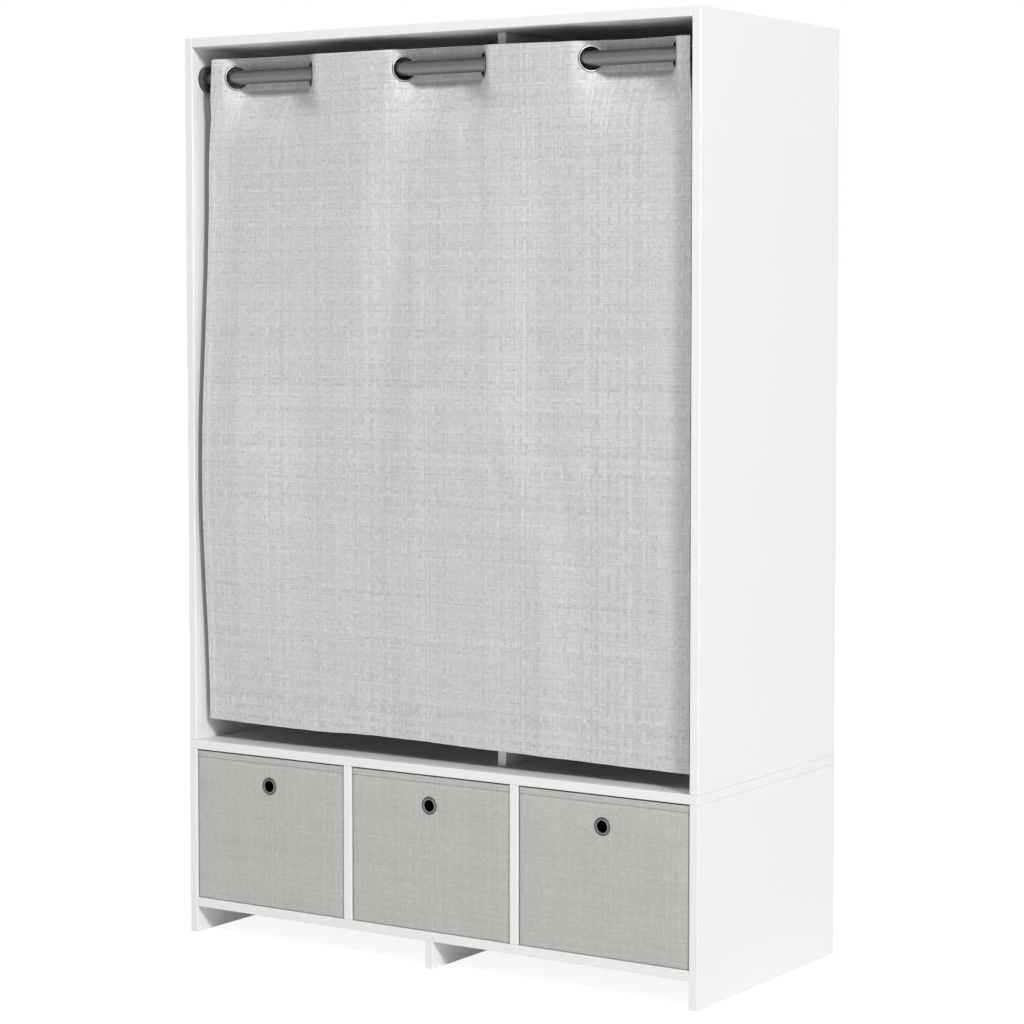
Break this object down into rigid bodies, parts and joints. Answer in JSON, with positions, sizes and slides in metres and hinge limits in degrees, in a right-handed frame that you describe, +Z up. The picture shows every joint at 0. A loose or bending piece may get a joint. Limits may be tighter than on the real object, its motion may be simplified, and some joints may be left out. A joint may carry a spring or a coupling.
{
  "type": "curtain wardrobe",
  "caption": "Tall board wardrobe with a linen curtain on a rod in place of doors, a hanging section and shelves behind it, and pull-out fabric boxes under the deck.",
  "frame": {"origin": "on the floor, at the middle of the width and the depth, under the centre foot", "axes": "+X to the right seen from the front, -Y out of the front, +Z up"},
  "size_m": [1.05, 0.48, 1.6],
  "materials": {
    "board": "white melamine faced board, satin",
    "back_sheet": "white lacquered fibreboard, matt",
    "white_plastic": "extruded, satin",
    "tube": "dark grey lacquered steel tube, satin",
    "socket": "moulded, satin",
    "eyelet": "dark nickel plate",
    "curtain_cloth": "light grey slubbed linen weave",
    "fitting": "zinc plate",
    "box_fabric": "greige fabric over board, matt",
    "box_board": "fabric covered base board"
  },
  "bodies": {
    "root": {"lower_side_left": "board", "lower_side_right": "board", "bottom_panel": "board", "centre_foot": "board", "box_divider_left": "board", "box_divider_right": "board", "deck_panel": "board", "upper_side_left": "board", "upper_side_right": "board", "top_panel": "board", "partition": "board", "shelf_lower": "board", "shelf_middle": "board", "shelf_upper": "board", "upper_back_left": "back_sheet", "upper_back_right": "back_sheet", "lower_back": "back_sheet", "back_joining_strip": "white_plastic", "curtain_rod": "tube", "hanging_rail": "tube", "rod_socket_left": "socket", "rod_socket_right": "socket", "rail_socket_left": "socket", "rail_socket_right": "socket", "curtain": "curtain_cloth", "shelf_pin_lower_front_left": "fitting", "shelf_pin_lower_front_right": "fitting", "shelf_pin_lower_rear_left": "fitting", "shelf_pin_lower_rear_right": "fitting", "shelf_pin_middle_front_left": "fitting", "shelf_pin_middle_front_right": "fitting", "shelf_pin_middle_rear_left": "fitting", "shelf_pin_middle_rear_right": "fitting", "shelf_pin_upper_front_left": "fitting", "shelf_pin_upper_front_right": "fitting", "shelf_pin_upper_rear_left": "fitting", "shelf_pin_upper_rear_right": "fitting", "top_cam_front_left": "fitting", "top_cam_front_right": "fitting", "top_cam_rear_left": "fitting", "top_cam_rear_right": "fitting"},
    "box_left": {"box_left_shell": "box_fabric", "box_left_base": "box_board", "box_left_eyelet": "eyelet"},
    "box_middle": {"box_middle_shell": "box_fabric", "box_middle_base": "box_board", "box_middle_eyelet": "eyelet"},
    "box_right": {"box_right_shell": "box_fabric", "box_right_base": "box_board", "box_right_eyelet": "eyelet"},
    "eyelet_1": {"curtain_eyelet_1": "eyelet"},
    "eyelet_2": {"curtain_eyelet_2": "eyelet"},
    "eyelet_3": {"curtain_eyelet_3": "eyelet"},
    "eyelet_4": {"curtain_eyelet_4": "eyelet"},
    "eyelet_5": {"curtain_eyelet_5": "eyelet"},
    "eyelet_6": {"curtain_eyelet_6": "eyelet"}
  },
  "joints": [
    {"name": "box_left_slide", "type": "slide", "parent": "root", "child": "box_left", "axis": [0, -1, 0], "range_m": [0, 0.4]},
    {"name": "box_middle_slide", "type": "slide", "parent": "root", "child": "box_middle", "axis": [0, -1, 0], "range_m": [0, 0.4]},
    {"name": "box_right_slide", "type": "slide", "parent": "root", "child": "box_right", "axis": [0, -1, 0], "range_m": [0, 0.4]},
    {"name": "curtain_draw", "type": "slide", "parent": "root", "child": "eyelet_6", "axis": [-1, 0, 0], "range_m": [0, 0.7608], "deforming": ["curtain"]},
    {"name": "eyelet_1_follow", "type": "slide", "parent": "root", "child": "eyelet_1", "axis": [-1, 0, 0], "range_m": [0, 0.0433]},
    {"name": "eyelet_2_follow", "type": "slide", "parent": "root", "child": "eyelet_2", "axis": [-1, 0, 0], "range_m": [0, 0.1768]},
    {"name": "eyelet_3_follow", "type": "slide", "parent": "root", "child": "eyelet_3", "axis": [-1, 0, 0], "range_m": [0, 0.3345]},
    {"name": "eyelet_4_follow", "type": "slide", "parent": "root", "child": "eyelet_4", "axis": [-1, 0, 0], "range_m": [0, 0.4665]},
    {"name": "eyelet_5_follow", "type": "slide", "parent": "root", "child": "eyelet_5", "axis": [-1, 0, 0], "range_m": [0, 0.6337]}
  ],
  "couplings": [
    {"joint": "eyelet_1_follow", "follows": "curtain_draw", "ratio": 0.056781},
    {"joint": "eyelet_2_follow", "follows": "curtain_draw", "ratio": 0.23233},
    {"joint": "eyelet_3_follow", "follows": "curtain_draw", "ratio": 0.43957},
    {"joint": "eyelet_4_follow", "follows": "curtain_draw", "ratio": 0.61302},
    {"joint": "eyelet_5_follow", "follows": "curtain_draw", "ratio": 0.83284}
  ]
}
